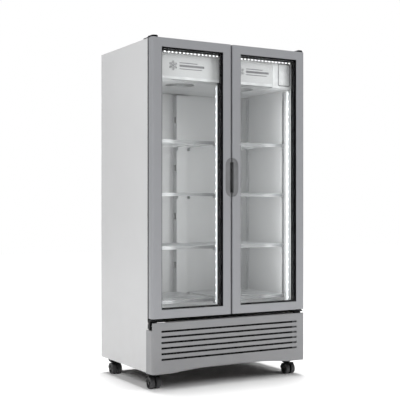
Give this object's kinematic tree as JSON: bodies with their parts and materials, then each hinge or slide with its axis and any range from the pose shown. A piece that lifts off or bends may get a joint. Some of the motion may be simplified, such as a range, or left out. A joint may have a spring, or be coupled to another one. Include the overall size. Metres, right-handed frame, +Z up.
{
  "type": "glass door merchandiser",
  "caption": "Upright drinks cooler with self-closing glass doors, slotted shelves, recessed grips beside the door gap, a vented kick panel and swivel casters.",
  "frame": {"origin": "on the floor, under the middle of the whole object's box", "axes": "+Z up, -Y towards the doors' side where the shopper stands, +X to the shopper's right"},
  "size_m": [1.053, 0.719, 2.012],
  "materials": {
    "panel_paint": "light grey powder coat, semi-gloss",
    "frame_paint": "mid grey metallic powder coat, satin",
    "trim_black": "black plastic and coated steel, satin to gloss",
    "liner_white": "white pre-painted sheet, smooth",
    "plastic_white": "white moulded plastic",
    "led_cover": "frosted clear plastic over LEDs",
    "foam": "rigid polyurethane foam",
    "galvanised": "galvanised sheet, light spangle",
    "chassis_steel": "dark coated steel",
    "aluminium": "mill finish",
    "shelf_grey": "light grey epoxy-coated wire",
    "condenser_black": "black painted fins",
    "compressor_black": "black enamel, gloss",
    "copper": "drawn copper tube",
    "glass": "clear insulated glass",
    "rubber": "black, matt",
    "handle_grey": "dark grey moulded plastic, fine texture",
    "plastic_black": "black moulded plastic"
  },
  "bodies": {
    "cabinet": {"base_chassis": "chassis_steel", "center_mullion": "trim_black", "compressor": "compressor_black", "condenser_coil": "condenser_black", "condenser_fan_shroud": "galvanised", "controller_module": "plastic_white", "electrical_box": "plastic_black", "evaporator_coil": "aluminium", "evaporator_housing": "liner_white", "front_trim": "trim_black", "header_panel_left": "liner_white", "header_panel_right": "liner_white", "hinge_bottom_left": "trim_black", "hinge_bottom_right": "trim_black", "hinge_top_left": "trim_black", "hinge_top_right": "trim_black", "inner_liner": "liner_white", "insulation_foam": "foam", "kick_panel": "frame_paint", "led_bar_center": "led_cover", "led_bar_left": "led_cover", "led_bar_right": "led_cover", "rear_duct": "liner_white", "rear_grille": "galvanised", "rear_panel": "galvanised", "refrigerant_line": "copper", "shelf_left_1": "shelf_grey", "shelf_left_2": "shelf_grey", "shelf_left_3": "shelf_grey", "shelf_left_4": "shelf_grey", "shelf_right_1": "shelf_grey", "shelf_right_2": "shelf_grey", "shelf_right_3": "shelf_grey", "shelf_right_4": "shelf_grey", "shelf_standard_left_front": "aluminium", "shelf_standard_left_rear": "aluminium", "shelf_standard_right_front": "aluminium", "shelf_standard_right_rear": "aluminium", "side_panel_left": "panel_paint", "side_panel_right": "panel_paint", "top_panel": "panel_paint"},
    "door_left": {"door_frame_left": "frame_paint", "door_glass_left": "glass", "door_gasket_left": "rubber", "door_handle_left": "handle_grey"},
    "door_right": {"door_frame_right": "frame_paint", "door_glass_right": "glass", "door_gasket_right": "rubber", "door_handle_right": "handle_grey"},
    "caster_front_left": {"caster_fork_front_left": "plastic_black"},
    "wheels_front_left": {"caster_wheels_front_left": "rubber"},
    "caster_front_right": {"caster_fork_front_right": "plastic_black"},
    "wheels_front_right": {"caster_wheels_front_right": "rubber"},
    "caster_rear_left": {"caster_fork_rear_left": "plastic_black"},
    "wheels_rear_left": {"caster_wheels_rear_left": "rubber"},
    "caster_rear_right": {"caster_fork_rear_right": "plastic_black"},
    "wheels_rear_right": {"caster_wheels_rear_right": "rubber"},
    "evaporator_fan_left": {"evaporator_fan_left": "plastic_black"},
    "evaporator_fan_right": {"evaporator_fan_right": "plastic_black"},
    "condenser_fan": {"condenser_fan": "plastic_black"}
  },
  "joints": [
    {"name": "door_left_hinge", "type": "hinge", "parent": "cabinet", "child": "door_left", "pos_m": [-0.5085, -0.3375, 0.409], "axis": [0, 0, -1], "range_deg": [0, 110], "stiffness_Nm_per_rad": 2, "springref_deg": -20.05},
    {"name": "door_right_hinge", "type": "hinge", "parent": "cabinet", "child": "door_right", "pos_m": [0.5085, -0.3375, 0.409], "axis": [0, 0, 1], "range_deg": [0, 110], "stiffness_Nm_per_rad": 2, "springref_deg": -20.05},
    {"name": "caster_front_left_swivel", "type": "hinge", "parent": "cabinet", "child": "caster_front_left", "pos_m": [-0.47, -0.2425, 0.094], "axis": [0, 0, 1], "continuous": true},
    {"name": "wheels_front_left_roll", "type": "hinge", "parent": "caster_front_left", "child": "wheels_front_left", "pos_m": [-0.47, -0.2645, 0.0325], "axis": [1, 0, 0], "continuous": true},
    {"name": "caster_front_right_swivel", "type": "hinge", "parent": "cabinet", "child": "caster_front_right", "pos_m": [0.47, -0.2425, 0.094], "axis": [0, 0, 1], "continuous": true},
    {"name": "wheels_front_right_roll", "type": "hinge", "parent": "caster_front_right", "child": "wheels_front_right", "pos_m": [0.47, -0.2645, 0.0325], "axis": [1, 0, 0], "continuous": true},
    {"name": "caster_rear_left_swivel", "type": "hinge", "parent": "cabinet", "child": "caster_rear_left", "pos_m": [-0.47, 0.2875, 0.094], "axis": [0, 0, 1], "continuous": true},
    {"name": "wheels_rear_left_roll", "type": "hinge", "parent": "caster_rear_left", "child": "wheels_rear_left", "pos_m": [-0.47, 0.2655, 0.0325], "axis": [1, 0, 0], "continuous": true},
    {"name": "caster_rear_right_swivel", "type": "hinge", "parent": "cabinet", "child": "caster_rear_right", "pos_m": [0.47, 0.2875, 0.094], "axis": [0, 0, 1], "continuous": true},
    {"name": "wheels_rear_right_roll", "type": "hinge", "parent": "caster_rear_right", "child": "wheels_rear_right", "pos_m": [0.47, 0.2655, 0.0325], "axis": [1, 0, 0], "continuous": true},
    {"name": "evaporator_fan_left_spin", "type": "hinge", "parent": "cabinet", "child": "evaporator_fan_left", "pos_m": [-0.21, -0.0995, 1.798], "axis": [0, 0, 1], "continuous": true},
    {"name": "evaporator_fan_right_spin", "type": "hinge", "parent": "cabinet", "child": "evaporator_fan_right", "pos_m": [0.21, -0.0995, 1.798], "axis": [0, 0, 1], "continuous": true},
    {"name": "condenser_fan_spin", "type": "hinge", "parent": "cabinet", "child": "condenser_fan", "pos_m": [-0.17, -0.1545, 0.238], "axis": [0, 1, 0], "continuous": true}
  ]
}
